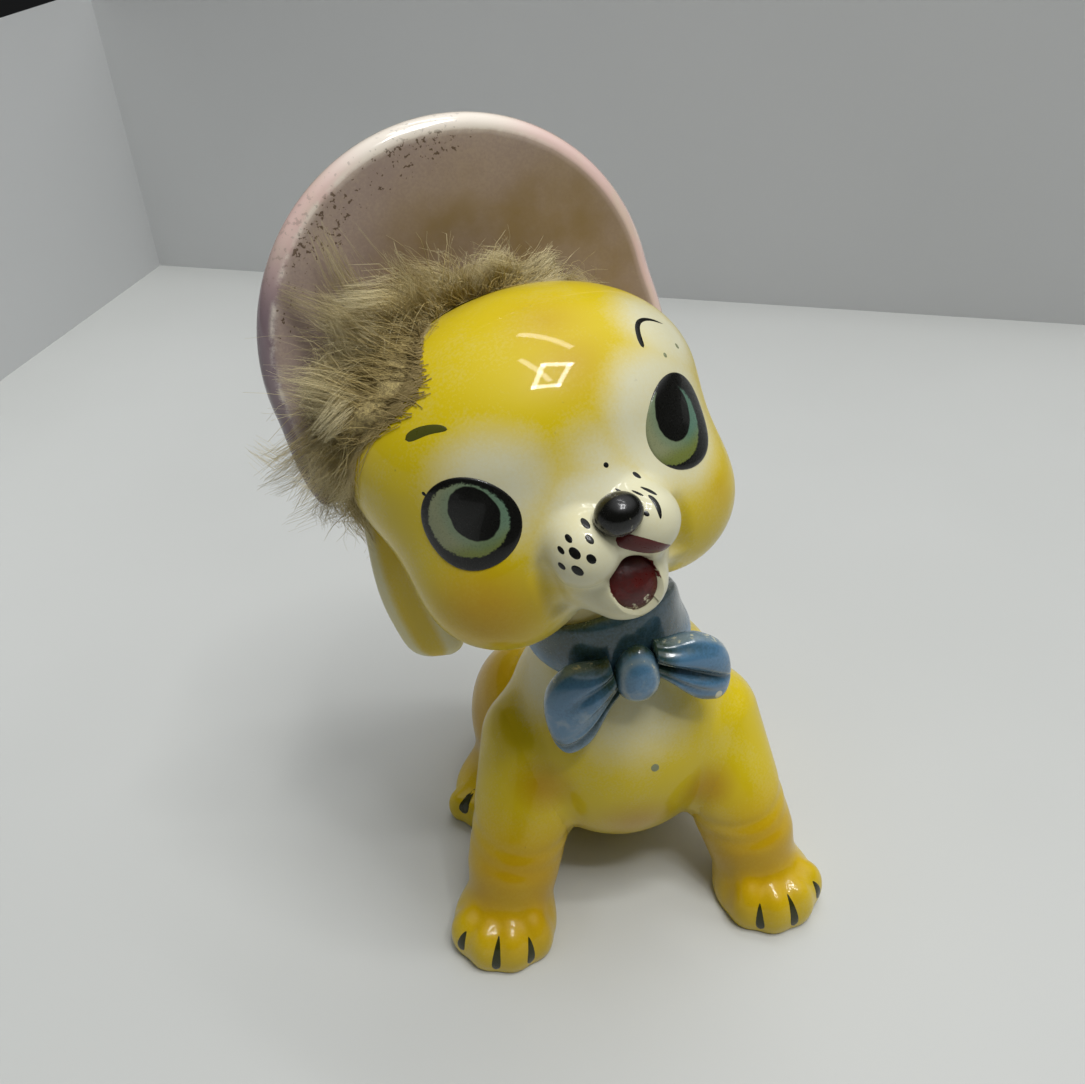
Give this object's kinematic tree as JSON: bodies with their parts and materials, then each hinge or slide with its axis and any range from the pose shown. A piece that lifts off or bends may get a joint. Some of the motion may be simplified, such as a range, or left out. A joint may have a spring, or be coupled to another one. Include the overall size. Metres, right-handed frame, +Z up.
{
  "type": "dog figurine",
  "caption": "Glazed pottery puppy sitting up in a fur-trimmed bonnet with a ribbon bow: hollow head and body on splayed legs, free-standing on its soles and a flat seat.",
  "frame": {"origin": "middle of the flat seat under the rump", "axes": "+Z up, -Y the way the dog faces, +X to the dog's left"},
  "size_m": [0.0778, 0.0701, 0.1236],
  "materials": {
    "body_glaze": "airbrushed yellow and cream under a clear gloss glaze",
    "eye_glaze": "hand-painted green and black under gloss glaze",
    "nose_glaze": "black gloss glaze",
    "mouth_glaze": "worn dark red paint",
    "bonnet_glaze": "pearly pink lustre, dull and specked with dirt inside the brim",
    "ribbon_glaze": "slate blue gloss glaze with white wear on the ridges",
    "hide": "raw hide",
    "fur": "tan rabbit fur"
  },
  "bodies": {
    "root": {"torso": "body_glaze", "tail": "body_glaze", "front_leg_right": "body_glaze", "front_leg_left": "body_glaze", "hind_leg_right": "body_glaze", "hind_leg_left": "body_glaze", "head": "body_glaze", "ear_right": "body_glaze", "ear_left": "body_glaze", "eye_right": "eye_glaze", "eye_left": "eye_glaze", "nose": "nose_glaze", "tongue": "mouth_glaze", "bonnet_brim": "bonnet_glaze", "bonnet_crown": "bonnet_glaze", "neck_ribbon": "ribbon_glaze", "bow_knot": "ribbon_glaze", "bow_loop_right": "ribbon_glaze", "bow_loop_left": "ribbon_glaze", "fur_hide": "hide", "fur_pile": "fur"}
  },
  "joints": []
}
